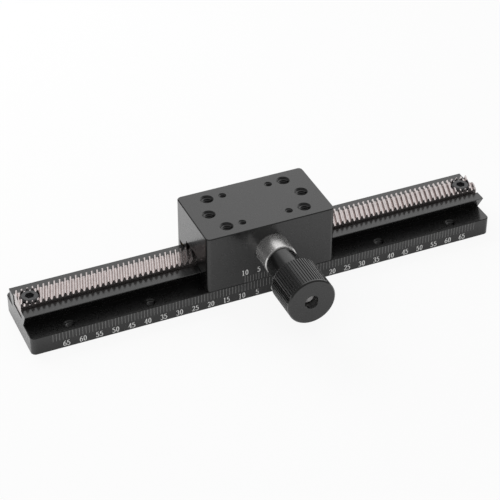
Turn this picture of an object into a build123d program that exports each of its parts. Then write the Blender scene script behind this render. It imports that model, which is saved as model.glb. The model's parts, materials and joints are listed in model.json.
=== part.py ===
from build123d import *
import math
import os

# Dovetail slide: a carriage driven along a rail by a helical rack and pinion.
# Millimetres. X runs along the slide, -Y is the knob's side, +Z is up.
# The origin is the centre of the rail's underside.

# Rail
rail_length = 150.0
rail_width = 24.0
plate_height = 6.0
plate_corner_radius = 1.5
dovetail_height = 4.5
ledge_width = 4.5
dovetail_offset = 0.3
dovetail_angle = math.radians(60.0)
dovetail_tip_flat = 0.25
edge_break = 0.2

# Tapped holes through the ledges of the rail
ledge_hole_end_inset = 12.5
ledge_hole_pitch = 25.0
ledge_hole_side_inset = 2.8
ledge_hole_countersink = 0.35

# Rack and pinion teeth
tooth_module = 0.5
helix_angle = math.radians(18.0)
pressure_angle = math.radians(20.0)
pinion_teeth = 16
tooth_thinning = 0.05
root_gap = 0.12
flank_steps = 3
pinion_sections = 6

# Rack
rack_width = 6.8
rack_height = 4.8
rack_stand = 1.95
rack_side_gap = 0.05
groove_width = 7.5
rack_end_gap = 0.2
rack_screw_inset = 4.0
rack_screw_length = 6.0
rack_counterbore_depth = 3.35
rack_counterbore_gap = 0.3
rack_screw_hole_gap = 0.1

# Carriage
carriage_length = 41.2
carriage_top_height = 25.0
carriage_corner_radius = 1.4
carriage_edge_break = 0.25
ledge_gap = 0.1
way_gap = 0.03
roof_gap = 0.5
slot_width = 9.0
slot_headroom = 1.9
pinion_pocket_gap = 0.6

# Tapped holes in the top of the carriage
m4_rectangle_x = 25.0
m4_rectangle_y = 15.0
m4_line_x = 30.0
m4_hole_depth = 6.0
m4_countersink = 0.4
m2_5_rectangle_x = 15.0
m2_5_rectangle_y = 15.0
m2_5_hole_depth = 5.0
m2_5_countersink = 0.2

# Gib strip and its screws
gib_thickness = 1.4
gib_back_gap = 0.1
gib_edge_gap = 0.15
gib_end_gap = 0.4
gib_screw_share = 0.36
gib_screw_recess = 0.5
gib_point_radius = 0.8
gib_dimple_floor = 0.1

# Bush, sleeve bearings and washers
bush_radius = 4.8
bush_collar_radius = 5.05
bush_collar_length = 6.9
bush_eccentricity = 0.25
bush_edge_break = 0.25
bush_relief_gap = 0.2
bush_screw_side_inset = 2.0
bush_screw_length = 4.0
sleeve_radius = 3.5
sleeve_length = 4.0
thrust_washer_radius = 4.6
thrust_washer_thickness = 0.5
shim_radius = 3.5
shim_thickness = 0.2
spring_radius = 3.45
spring_thickness = 0.25

# Shaft and pinion
shaft_radius = 2.5
shaft_seat_radius = 2.0
shaft_flat_depth = 0.45
shaft_edge_break = 0.3
pinion_width = 7.6
pinion_counterbore_radius = 2.8
pinion_counterbore_depth = 1.4
pinion_screw_head_radius = 2.5
pinion_screw_head_height = 1.1
pinion_screw_length = 5.0

# Knob
knob_gap = 0.1
hub_radius = 4.8
hub_length = 8.9
grip_radius = 7.4
grip_length = 11.9
grip_rim = 0.8
grip_edge_break = 0.35
flute_count = 58
flute_width = 0.42
flute_floor_width = 0.16
flute_depth = 0.3
washer_recess_radius = 3.8
washer_recess_depth = 1.1
shaft_end_recess = 2.6
bore_edge_break = 0.2
knob_screw_inset = 2.75
knob_screw_turn = 35.0
knob_screw_recess = 0.2

# Metric screws
m2_radius = 1.0
m3_radius = 1.5
m3_tap_radius = 1.25
m4_tap_radius = 1.65
m2_5_tap_radius = 1.025
m3_head_radius = 2.75
m3_head_height = 3.0
m3_head_edge_break = 0.4
m3_hex_width = 2.5
m3_grub_hex_width = 1.5
m2_hex_width = 0.9
hex_depth = 1.3
screw_edge_break = 0.2

# Clearances of fits
running_gap = 0.02
press_gap = 0.01
thread_gap = 0.02
seat_gap = 0.02
washer_bore_gap = 0.05
washer_face_gap = 0.03
tap_overrun = 0.5
cut_overrun = 1.0

# Sides of the slide, as signs of Y
FRONT = -1
BACK = 1

# Heights and places worked out from the sizes above
rail_height = plate_height + dovetail_height
dovetail_top_width = rail_width - 2 * ledge_width
rack_top = rail_height + rack_stand
rack_floor = rack_top - rack_height
groove_side = groove_width / 2
rack_back = groove_side - rack_side_gap
rack_front = rack_back - rack_width
rack_middle = (rack_back + rack_front) / 2
rack_screw_x = rail_length / 2 - rack_screw_inset
rack_screw_seat = rack_top - rack_counterbore_depth
transverse_module = tooth_module / math.cos(helix_angle)
transverse_pressure = math.atan(math.tan(pressure_angle) / math.cos(helix_angle))
tooth_pitch = math.pi * transverse_module
pitch_radius = transverse_module * pinion_teeth / 2
tip_radius = pitch_radius + tooth_module
root_radius = pitch_radius - tooth_module - root_gap
pitch_line = rack_top - tooth_module
axis_height = pitch_line + pitch_radius
ledge_hole_y = rail_width / 2 - ledge_hole_side_inset
ledge_hole_xs = [
    rail_length / 2 - ledge_hole_end_inset,
    rail_length / 2 - ledge_hole_end_inset - ledge_hole_pitch,
]

carriage_bottom = plate_height + ledge_gap
carriage_side = rail_width / 2
channel_roof = rail_height + roof_gap
slot_roof = rack_screw_seat + m3_head_height + slot_headroom
slot_side = slot_width / 2
gib_bottom = carriage_bottom + gib_edge_gap
gib_top = channel_roof - gib_edge_gap
gib_screw_height = (carriage_bottom + channel_roof) / 2
gib_screw_pitch = carriage_length * gib_screw_share

bush_height = axis_height + bush_eccentricity
bush_front = -carriage_side - bush_collar_length
bush_screw_y = -carriage_side + bush_screw_side_inset
thrust_washer_front = -slot_side
pinion_front = -slot_side + thrust_washer_thickness + washer_bore_gap
pinion_back = pinion_front + pinion_width
knob_back = bush_front - knob_gap
knob_seat = knob_back - washer_recess_depth
grip_back = knob_back - hub_length
grip_front = grip_back - grip_length
shaft_front = grip_front + shaft_end_recess
knob_screw_y = knob_back - knob_screw_inset


def flank(height, side, offset=0.0):
    """Place in Y of the dovetail's front or back flank at a height, or of a line set off square to it."""
    tip_height = rail_height - dovetail_tip_flat
    half_width = dovetail_top_width / 2 - (tip_height - height) / math.tan(dovetail_angle)
    return dovetail_offset + side * (half_width + offset / math.sin(dovetail_angle))


def outlined_face(points):
    """Flat face inside a closed outline of straight lines."""
    return Face(Wire.make_polygon(points, close=True))


def bar_x(outline, length):
    """Bar along X, centred at the origin, from an outline of (y, z) points."""
    section = outlined_face([(-length / 2, y, z) for y, z in outline])
    return Solid.extrude(section, Vector(length, 0, 0))


def block(x_range, y_range, z_range):
    """Box between pairs of coordinates."""
    sizes = [high - low for low, high in (x_range, y_range, z_range)]
    centre = [(high + low) / 2 for low, high in (x_range, y_range, z_range)]
    return Pos(*centre) * Box(*sizes)


def turned(outline, axis_at=axis_height):
    """Solid turned about the knob's axis from an outline of (radius, y) points."""
    section = outlined_face([(radius, y, 0) for radius, y in outline])
    return Pos(0, 0, axis_at) * Solid.revolve(section, 360, Axis.Y)


def rod_y(radius, y_start, y_end, x=0.0, z=axis_height):
    """Round rod along Y between two places."""
    length = abs(y_end - y_start)
    return Pos(x, (y_start + y_end) / 2, z) * Rot(90, 0, 0) * Cylinder(radius, length)


def ring_y(outer_radius, inner_radius, y_start, y_end):
    """Ring about the knob's axis."""
    return rod_y(outer_radius, y_start, y_end) - rod_y(inner_radius, y_start, y_end)


def drill_down(radius, depth, countersink=0.0):
    """Hole from z = 0 downwards, with a 45 degree countersink of the given depth."""
    hole = Pos(0, 0, -depth / 2) * Cylinder(radius, depth)
    if countersink > 0:
        hole += Pos(0, 0, -countersink / 2) * Cone(radius, radius + countersink, countersink)
    return hole


def socket(width, depth):
    """Hexagon socket from z = 0 downwards."""
    return extrude(RegularPolygon(width / 2, 6, major_radius=False), -depth)


def cap_screw(length):
    """M3 socket head cap screw, its head standing on z = 0 and its shank hanging down."""
    head = Pos(0, 0, m3_head_height / 2) * Cylinder(m3_head_radius, m3_head_height)
    head = chamfer(head.edges().group_by(Axis.Z)[-1], m3_head_edge_break)
    shank = Pos(0, 0, -length / 2) * Cylinder(m3_radius, length)
    shank = chamfer(shank.edges().group_by(Axis.Z)[0], screw_edge_break)
    return head + shank - Pos(0, 0, m3_head_height) * socket(m3_hex_width, hex_depth)


def grub_screw(radius, length, hex_width, point_radius=None, point_length=0.0):
    """Set screw from z = 0 downwards, with a socket in its top and a point below it."""
    body = Pos(0, 0, -length / 2) * Cylinder(radius, length)
    body = chamfer(body.edges().group_by(Axis.Z)[-1], screw_edge_break)
    if point_radius:
        body += Pos(0, 0, -length - point_length / 2) * Cylinder(point_radius, point_length)
    else:
        body = chamfer(body.edges().group_by(Axis.Z)[0], screw_edge_break)
    return body - socket(hex_width, hex_depth)


def base_rail():
    """Plate with the dovetail on top, the rack's groove and all its tapped holes."""
    half_width = rail_width / 2
    tip_height = rail_height - dovetail_tip_flat
    outline = [
        (-half_width, 0),
        (half_width, 0),
        (half_width, plate_height),
        (flank(plate_height, BACK), plate_height),
        (flank(tip_height, BACK), tip_height),
        (flank(tip_height, BACK), rail_height),
        (flank(tip_height, FRONT), rail_height),
        (flank(tip_height, FRONT), tip_height),
        (flank(plate_height, FRONT), plate_height),
        (-half_width, plate_height),
    ]
    rail = bar_x(outline, rail_length)
    corners = rail.edges().filter_by(Axis.Z).filter_by(
        lambda edge: abs(abs(edge.center().Y) - half_width) < edge_break
    )
    rail = fillet(corners, plate_corner_radius)
    underside = rail.faces().sort_by(Axis.Z)[0]
    rail = chamfer(underside.outer_wire().edges(), edge_break)
    foot = flank(plate_height, BACK) + edge_break
    ledges = rail.faces().filter_by(Plane.XY).filter_by(
        lambda face: abs(face.center().Z - plate_height) < edge_break
    )
    ledge_edges = [edge for face in ledges for edge in face.outer_wire().edges()]
    outer_edges = [edge for edge in ledge_edges if abs(edge.center().Y) > foot]
    rail = chamfer(outer_edges, edge_break)
    overall = (-rail_length, rail_length)
    rail -= block(overall, (-groove_side, groove_side), (rack_floor, rail_height + cut_overrun))
    rack_hole_depth = rack_screw_length - (rack_screw_seat - rack_floor) + tap_overrun
    for side in (-1, 1):
        hole = drill_down(m3_radius + thread_gap, rack_hole_depth)
        rail -= Pos(side * rack_screw_x, rack_middle, rack_floor) * hole
    for x in ledge_hole_xs:
        for side_x in (-1, 1):
            for side_y in (-1, 1):
                hole = drill_down(m3_tap_radius, plate_height + cut_overrun, ledge_hole_countersink)
                rail -= Pos(side_x * x, side_y * ledge_hole_y, plate_height) * hole
    return rail


def rack_outline(reach):
    """Outline in X and Z of the toothed bar, with a tooth space at x = 0."""
    half_pitch_space = tooth_pitch / 4 + tooth_thinning / 2
    slope = math.tan(transverse_pressure)
    top_half = half_pitch_space + slope * tooth_module
    floor_half = half_pitch_space - slope * (tooth_module + root_gap)
    root = pitch_line - tooth_module - root_gap
    spaces = math.ceil(reach / tooth_pitch)
    end = (spaces + 0.5) * tooth_pitch
    points = [(end, rack_floor), (-end, rack_floor), (-end, rack_top)]
    for number in range(-spaces, spaces + 1):
        centre = number * tooth_pitch
        points += [
            (centre - top_half, rack_top),
            (centre - floor_half, root),
            (centre + floor_half, root),
            (centre + top_half, rack_top),
        ]
    points.append((end, rack_top))
    return points


def rack():
    """Helical rack with a counterbored hole at each end."""
    half_length = rail_length / 2 - rack_end_gap
    start_lean = rack_front * math.tan(helix_angle)
    whole_lean = rack_width * math.tan(helix_angle)
    outline = rack_outline(half_length + whole_lean)
    section = outlined_face([(x + start_lean, rack_front, z) for x, z in outline])
    bar = Solid.extrude(section, Vector(whole_lean, rack_width, 0))
    tall = (rack_floor - cut_overrun, rack_top + cut_overrun)
    bar &= block((-half_length, half_length), (-rack_width, rack_width), tall)
    for side in (-1, 1):
        place = Pos(side * rack_screw_x, rack_middle, rack_top)
        bar -= place * drill_down(m3_head_radius + rack_counterbore_gap, rack_counterbore_depth)
        bar -= place * drill_down(m3_radius + rack_screw_hole_gap, rack_height)
    return bar


def rack_screw(side):
    """Socket head screw that holds one end of the rack in its groove."""
    return Pos(side * rack_screw_x, rack_middle, rack_screw_seat) * cap_screw(rack_screw_length)


def top_holes():
    """Tapped holes that open at z = 0, in the pattern of the carriage's top."""
    holes = []
    for side_x in (-1, 1):
        wide = drill_down(m4_tap_radius, m4_hole_depth, m4_countersink)
        holes.append(Pos(side_x * m4_line_x / 2, 0, 0) * wide)
        for side_y in (-1, 1):
            wide_place = Pos(side_x * m4_rectangle_x / 2, side_y * m4_rectangle_y / 2, 0)
            holes.append(wide_place * wide)
            small = drill_down(m2_5_tap_radius, m2_5_hole_depth, m2_5_countersink)
            small_place = Pos(side_x * m2_5_rectangle_x / 2, side_y * m2_5_rectangle_y / 2, 0)
            holes.append(small_place * small)
    return holes


def carriage_block():
    """Block that straddles the dovetail, with its channel, slot, pocket and holes."""
    height = carriage_top_height - carriage_bottom
    plan = RectangleRounded(carriage_length, rail_width, carriage_corner_radius)
    body = Pos(0, 0, carriage_bottom) * extrude(plan, height)
    body = chamfer(body.edges().group_by(Axis.Z)[-1], carriage_edge_break)
    below = carriage_bottom - cut_overrun
    back_offset = way_gap + gib_thickness + gib_back_gap
    channel = [
        (flank(below, FRONT, way_gap), below),
        (flank(channel_roof, FRONT, way_gap), channel_roof),
        (flank(channel_roof, BACK, back_offset), channel_roof),
        (flank(below, BACK, back_offset), below),
    ]
    body -= bar_x(channel, carriage_length + cut_overrun)
    overall = (-carriage_length, carriage_length)
    body -= block(overall, (-slot_side, slot_side), (below, slot_roof))
    body -= rod_y(tip_radius + pinion_pocket_gap, -slot_side, slot_side)
    body -= rod_y(bush_radius + press_gap, -carriage_side - cut_overrun, 0, z=bush_height)
    for hole in top_holes():
        body -= Pos(0, 0, carriage_top_height) * hole
    for x in (-gib_screw_pitch, 0, gib_screw_pitch):
        body -= rod_y(m3_radius + thread_gap, 0, carriage_side + cut_overrun, x, gib_screw_height)
    screw_hole = Cylinder(m2_radius + thread_gap, bush_height - below)
    body -= Pos(0, bush_screw_y, (bush_height + below) / 2) * screw_hole
    return body


def gib_back(height):
    """Place in Y of the gib's back face at a height."""
    return flank(height, BACK, way_gap + gib_thickness)


def gib_dimple_y():
    """Place in Y of the flat floor that each gib screw's point presses on."""
    slant = (gib_point_radius + thread_gap) / math.tan(dovetail_angle)
    return gib_back(gib_screw_height) - slant - gib_dimple_floor


def gib_strip():
    """Strip with slanting faces that takes up the play on the rail's back flank."""
    outline = [
        (flank(gib_bottom, BACK, way_gap), gib_bottom),
        (gib_back(gib_bottom), gib_bottom),
        (gib_back(gib_top), gib_top),
        (flank(gib_top, BACK, way_gap), gib_top),
    ]
    strip = bar_x(outline, carriage_length - 2 * gib_end_gap)
    for x in (-gib_screw_pitch, 0, gib_screw_pitch):
        point_hole = gib_point_radius + thread_gap
        strip -= rod_y(point_hole, gib_dimple_y(), carriage_side, x, gib_screw_height)
    return strip


def gib_screw(x):
    """Dog point set screw from the carriage's back face to its dimple in the gib."""
    body_end = gib_back(gib_screw_height + m3_radius) + seat_gap
    head_y = carriage_side - gib_screw_recess
    screw = grub_screw(
        m3_radius,
        head_y - body_end,
        m3_grub_hex_width,
        gib_point_radius,
        body_end - gib_dimple_y(),
    )
    return Pos(x, head_y, gib_screw_height) * Rot(-90, 0, 0) * screw


def pinion_bush():
    """Eccentric bush: turning it in the carriage sets how deep the teeth mesh."""
    break_end = bush_front + bush_edge_break
    outside = turned(
        [
            (0, bush_front),
            (bush_collar_radius - bush_edge_break, bush_front),
            (bush_collar_radius, break_end),
            (bush_collar_radius, -carriage_side),
            (bush_radius, -carriage_side),
            (bush_radius, -slot_side),
            (0, -slot_side),
        ],
        bush_height,
    )
    relief = rod_y(shaft_radius + bush_relief_gap, bush_front, -slot_side)
    front_seat = rod_y(sleeve_radius, bush_front, bush_front + sleeve_length)
    rear_seat = rod_y(sleeve_radius, -slot_side - sleeve_length, -slot_side)
    return outside - relief - front_seat - rear_seat


def bush_set_screw():
    """Set screw in the carriage's front cheek that clamps the bush from below."""
    top = bush_height - bush_radius - seat_gap
    screw = grub_screw(m2_radius, bush_screw_length, m2_hex_width)
    return Pos(0, bush_screw_y, top - bush_screw_length) * Rot(180, 0, 0) * screw


def sleeve_bearing(y_start):
    """Plain sleeve pressed into one end of the bush."""
    outer = sleeve_radius - press_gap
    return ring_y(outer, shaft_radius + running_gap, y_start, y_start + sleeve_length)


def thrust_washer():
    """Washer between the bush's inner end and the pinion."""
    inner = shaft_radius + washer_bore_gap
    end = thrust_washer_front + thrust_washer_thickness
    return ring_y(thrust_washer_radius, inner, thrust_washer_front, end)


def shim_washer():
    """Thin washer on the bush's front face, for the spring washer to turn on."""
    inner = shaft_radius + washer_bore_gap
    return ring_y(shim_radius, inner, bush_front - shim_thickness, bush_front)


def spring_washer():
    """Disc spring between the shim and the floor of the knob's recess."""
    inner = shaft_radius + washer_bore_gap
    front = knob_seat + washer_face_gap
    back = bush_front - shim_thickness - washer_face_gap
    return turned(
        [
            (inner, front),
            (spring_radius, back - spring_thickness),
            (spring_radius, back),
            (inner, front + spring_thickness),
        ]
    )


def pinion_shaft():
    """Shaft with a flatted seat for the pinion at its back and one for the knob in front."""
    seat_end = pinion_back - pinion_counterbore_depth - seat_gap
    shaft = turned(
        [
            (0, shaft_front),
            (shaft_seat_radius - shaft_edge_break, shaft_front),
            (shaft_seat_radius, shaft_front + shaft_edge_break),
            (shaft_seat_radius, knob_seat),
            (shaft_radius, knob_seat),
            (shaft_radius, pinion_front),
            (shaft_seat_radius, pinion_front),
            (shaft_seat_radius, seat_end),
            (0, seat_end),
        ]
    )
    flat_height = shaft_seat_radius - shaft_flat_depth
    shaft -= pinion_flat(flat_height, pinion_front, seat_end + cut_overrun)
    tapped_depth = pinion_screw_length + tap_overrun
    shaft -= rod_y(m2_radius + thread_gap, seat_end - tapped_depth, seat_end)
    screw_flat = block(
        (-shaft_radius, shaft_radius),
        (knob_screw_y - m3_radius, knob_screw_y + m3_radius),
        (flat_height, shaft_radius),
    )
    return shaft - Pos(0, 0, axis_height) * Rot(0, knob_screw_turn, 0) * screw_flat


def pinion_flat(flat_height, y_start, y_end):
    """Block above the flat of the pinion's seat, at a height over the axis."""
    wide = (-2 * shaft_radius, 2 * shaft_radius)
    tall = (axis_height + flat_height, axis_height + 2 * shaft_radius)
    return block(wide, (y_start, y_end), tall)


def involute(angle):
    """Involute function of an angle in radians."""
    return math.tan(angle) - angle


def pinion_outline():
    """Tooth outline about the axis, as (radius, angle) points with a tooth at angle 0."""
    base_radius = pitch_radius * math.cos(transverse_pressure)
    tooth_width = tooth_pitch / 2 - tooth_thinning
    pitch_half_angle = tooth_width / (2 * pitch_radius)
    start_radius = max(base_radius, root_radius)
    flank_side = []
    for step in range(flank_steps + 1):
        radius = start_radius + (tip_radius - start_radius) * step / flank_steps
        pressure = math.acos(base_radius / radius)
        half_angle = pitch_half_angle + involute(transverse_pressure) - involute(pressure)
        flank_side.append((radius, half_angle))
    if start_radius > root_radius:
        flank_side.insert(0, (root_radius, flank_side[0][1]))
    points = []
    for tooth in range(pinion_teeth):
        centre = 2 * math.pi * tooth / pinion_teeth
        points += [(radius, centre - half) for radius, half in flank_side]
        points += [(radius, centre + half) for radius, half in reversed(flank_side)]
    return points


def pinion_section(y):
    """Closed tooth outline at a place along the axis, turned to follow the helix."""
    twist = -math.tan(helix_angle) * y / pitch_radius
    points = []
    for radius, angle in pinion_outline():
        turn = angle + twist
        points.append((-radius * math.sin(turn), y, axis_height - radius * math.cos(turn)))
    return Wire.make_polygon(points, close=True)


def pinion():
    """Helical pinion with a flatted bore and a counterbore for its screw."""
    step = pinion_width / (pinion_sections - 1)
    sections = [pinion_section(pinion_front + number * step) for number in range(pinion_sections)]
    gear = Solid.make_loft(sections, ruled=True)
    bore_radius = shaft_seat_radius + running_gap
    bore = rod_y(bore_radius, pinion_front - cut_overrun, pinion_back + cut_overrun)
    flat_height = shaft_seat_radius - shaft_flat_depth + running_gap
    bore -= pinion_flat(flat_height, pinion_front - 2 * cut_overrun, pinion_back + 2 * cut_overrun)
    counterbore_floor = pinion_back - pinion_counterbore_depth
    counterbore = rod_y(pinion_counterbore_radius, counterbore_floor, pinion_back + cut_overrun)
    return gear - bore - counterbore


def pinion_screw():
    """Flat head screw that holds the pinion on the end of the shaft."""
    seat = pinion_back - pinion_counterbore_depth
    head = rod_y(pinion_screw_head_radius, seat, seat + pinion_screw_head_height)
    head = chamfer(head.edges().group_by(Axis.Y)[-1], screw_edge_break)
    shank = rod_y(m2_radius, seat - pinion_screw_length, seat)
    key = Rot(-90, 0, 0) * socket(m2_hex_width, pinion_screw_head_height / 2)
    return head + shank - Pos(0, seat + pinion_screw_head_height, axis_height) * key


def knob_flutes():
    """Ring of metal that the grooves take away from the grip, along the knob's axis."""
    points = []
    for number in range(flute_count):
        centre = 2 * math.pi * number / flute_count
        for radius, width in (
            (grip_radius, -flute_width),
            (grip_radius - flute_depth, -flute_floor_width),
            (grip_radius - flute_depth, flute_floor_width),
            (grip_radius, flute_width),
        ):
            angle = centre + width / (2 * grip_radius)
            points.append((radius * math.sin(angle), grip_front + grip_rim, radius * math.cos(angle)))
    core = outlined_face(points)
    length = grip_length - grip_rim + cut_overrun
    ring = rod_y(
        grip_radius + cut_overrun, grip_front + grip_rim, grip_front + grip_rim + length
    )
    return ring - Pos(0, 0, axis_height) * Solid.extrude(core, Vector(0, length, 0))


def knob():
    """Knob with a plain hub, a grooved grip, a bore for the shaft and a washer recess."""
    bore_radius = shaft_seat_radius + running_gap
    body = turned(
        [
            (bore_radius, grip_front + bore_edge_break),
            (bore_radius + bore_edge_break, grip_front),
            (grip_radius - grip_edge_break, grip_front),
            (grip_radius, grip_front + grip_edge_break),
            (grip_radius, grip_back - grip_edge_break),
            (grip_radius - grip_edge_break, grip_back),
            (hub_radius, grip_back),
            (hub_radius, knob_back - screw_edge_break),
            (hub_radius - screw_edge_break, knob_back),
            (bore_radius, knob_back),
        ]
    )
    body -= knob_flutes() & ring_y(
        grip_radius + cut_overrun, hub_radius + cut_overrun, grip_front, grip_back
    )
    body -= rod_y(washer_recess_radius, knob_seat, knob_back + cut_overrun)
    return body - knob_screw_place() * drill_down(m3_radius + thread_gap, hub_radius)


def knob_screw_place():
    """Place of the hub's set screw: on the hub's surface, pointing at the axis."""
    to_surface = Pos(0, knob_screw_y, hub_radius)
    return Pos(0, 0, axis_height) * Rot(0, knob_screw_turn, 0) * to_surface


def knob_set_screw():
    """Set screw that presses on the shaft's flat."""
    flat_height = shaft_seat_radius - shaft_flat_depth
    length = hub_radius - knob_screw_recess - flat_height - seat_gap
    screw = grub_screw(m3_radius, length, m3_grub_hex_width)
    return knob_screw_place() * Pos(0, 0, -knob_screw_recess) * screw


def main():
    """Build every piece and write it to its own file."""
    pieces = {
        "base_rail": base_rail(),
        "rack": rack(),
        "rack_screw_left": rack_screw(-1),
        "rack_screw_right": rack_screw(1),
        "carriage_block": carriage_block(),
        "gib_strip": gib_strip(),
        "gib_screw_left": gib_screw(-gib_screw_pitch),
        "gib_screw_middle": gib_screw(0),
        "gib_screw_right": gib_screw(gib_screw_pitch),
        "pinion_bush": pinion_bush(),
        "bush_set_screw": bush_set_screw(),
        "front_sleeve_bearing": sleeve_bearing(bush_front),
        "rear_sleeve_bearing": sleeve_bearing(-slot_side - sleeve_length),
        "thrust_washer": thrust_washer(),
        "shim_washer": shim_washer(),
        "spring_washer": spring_washer(),
        "pinion_shaft": pinion_shaft(),
        "pinion": pinion(),
        "pinion_screw": pinion_screw(),
        "knob": knob(),
        "knob_set_screw": knob_set_screw(),
    }
    os.makedirs("parts", exist_ok=True)
    for name, shape in pieces.items():
        export_step(shape, f"parts/{name}.step")


main()
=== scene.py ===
import json
import math

import bpy
from bpy.props import FloatProperty, FloatVectorProperty, IntProperty, PointerProperty
from mathutils import Matrix, Vector


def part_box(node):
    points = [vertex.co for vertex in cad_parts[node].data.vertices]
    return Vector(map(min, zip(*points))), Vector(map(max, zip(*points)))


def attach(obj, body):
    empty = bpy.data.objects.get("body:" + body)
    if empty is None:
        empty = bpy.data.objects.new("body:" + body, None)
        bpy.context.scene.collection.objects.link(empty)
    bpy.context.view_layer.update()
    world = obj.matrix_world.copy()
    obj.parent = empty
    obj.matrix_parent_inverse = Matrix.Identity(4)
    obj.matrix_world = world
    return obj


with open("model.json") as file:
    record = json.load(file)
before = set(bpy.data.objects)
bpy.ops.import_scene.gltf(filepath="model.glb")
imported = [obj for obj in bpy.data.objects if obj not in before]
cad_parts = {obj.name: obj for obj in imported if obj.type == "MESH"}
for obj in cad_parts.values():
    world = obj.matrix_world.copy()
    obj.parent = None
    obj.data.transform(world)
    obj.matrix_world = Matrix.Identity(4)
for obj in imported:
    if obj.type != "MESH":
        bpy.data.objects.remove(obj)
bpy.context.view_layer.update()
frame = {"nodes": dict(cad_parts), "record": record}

bl_info = {
    "name": "Dovetail slide dressing",
    "version": (1, 0, 0),
    "blender": (4, 5, 0),
    "location": "3D View > Sidebar > Slide",
    "description":
        "Finishes, engraved scales, threads and a studio for a rack and pinion dovetail slide",
    "category": "Object",
}

MM = 0.001
IMAGE_WIDTH_PX = 500

# Places read from the frame
RAIL_LOW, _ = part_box("base_rail")
BLOCK_LOW, BLOCK_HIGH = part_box("carriage_block")
KNOB_LOW, KNOB_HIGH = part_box("knob")
BUSH_LOW, BUSH_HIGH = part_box("pinion_bush")
AXIS_HEIGHT = (KNOB_LOW.z + KNOB_HIGH.z) / 2
BUSH_HEIGHT = (BUSH_LOW.z + BUSH_HIGH.z) / 2
MOUNTS = {mount["name"]: mount for mount in frame["record"]["mounts"]}

# Threads of the tapped holes: pitch, depth below the countersink, and that countersink's depth
M4_PITCH = 0.7 * MM
M4_DEPTH = 5.6 * MM
M4_COUNTERSINK = 0.4 * MM
M2_5_PITCH = 0.45 * MM
M2_5_DEPTH = 4.6 * MM
M2_5_COUNTERSINK = 0.2 * MM
M3_PITCH = 0.5 * MM

# Height of the rail's ledges, which the M3 holes go through
LEDGE_HEIGHT = 6.0 * MM

# Ridge of a thread: its height and the drops of its four corners in pitches, how far its feet
# reach into the wall, and the straight pieces of one turn
RIDGE_HEIGHT = 0.45
RIDGE_DROPS = (0.06, 0.44, 0.56, 0.94)
RIDGE_SINK = 0.01 * MM
RIDGE_SEGMENTS = 28

# Marks: how far they stand out of the face, and the step between the strokes of one figure
MARK_LIFT = 0.012 * MM
STROKE_STEP = MARK_LIFT / 8

# Vernier: where its marks start above the face's lower edge, and the divisions between figures
VERNIER_FOOT = 0.1 * MM
VERNIER_FIGURE_STEP = 5

# Figures, in shares of their height: cell, gap, and the pen's line lying flat and running upright
DIGIT_WIDTH = 0.56
DIGIT_GAP = 0.06
PEN_THIN = 0.07
PEN_THICK = 0.135

# Sockets of the Mix node, for colours and for numbers
MIX_FACTOR = 0
MIX_COLOR_A, MIX_COLOR_B, MIX_COLOR_RESULT = 6, 7, 2
MIX_NUMBER_A, MIX_NUMBER_B, MIX_NUMBER_RESULT = 2, 3, 0

# Part of the noise's values that the grain stretches to its full range
NOISE_SPREAD = (0.3, 0.7)

# Worn edges: one minus the cosine of the normal's turn, from no wear to full wear, and their grain
EDGE_TURN = (0.02, 0.25)
EDGE_GRAIN_SCALE = 900.0

# Samples of the nodes that look for edges
BEVEL_SAMPLES = 6

# How far the anodised roughness drifts to each side of its mean
ANODISED_DRIFT = 0.03

# Colours that worn edges show
WORN_ANODISING = (0.12, 0.12, 0.12)
# The rack's near-white edge colour is partly worn plating and partly a painted highlight along its
# teeth
PLATING_WEAR_AND_HIGHLIGHT = (0.95, 0.92, 0.91)
WORN_STEEL = (0.9, 0.9, 0.89)
WORN_OXIDE = (0.2, 0.2, 0.2)
WORN_THREAD = (0.45, 0.45, 0.45)
WORN_YELLOW_METAL = (0.85, 0.75, 0.55)

# Bright part of the surroundings, above the right end and behind the slide: its middle, the
# cosines of the angle from there between which it fades in, and the strengths outside and inside
SOFTBOX_DIRECTION = (0.52, 0.44, 0.732)
SOFTBOX_EDGE = (0.6, 0.85)
SOFTBOX_STRENGTH = (0.2, 0.93)

# Lamps, in metres: place and side
KEY_PLACE = (-0.1, 0.3, 0.25)
KEY_SIZE = 0.3
FILL_PLACE = (-0.3, -0.6, 0.9)
FILL_SIZE = 0.8

# Floor: half its side in metres, and the shares of plain white that the camera and mirrors see
FLOOR_HALF = 3.0
FLOOR_CAMERA_WHITE = 0.9
FLOOR_MIRROR_WHITE = 0.09

# Nearest and farthest that the camera sees, in metres
CLIP_START = 0.01
CLIP_END = 20.0


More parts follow.
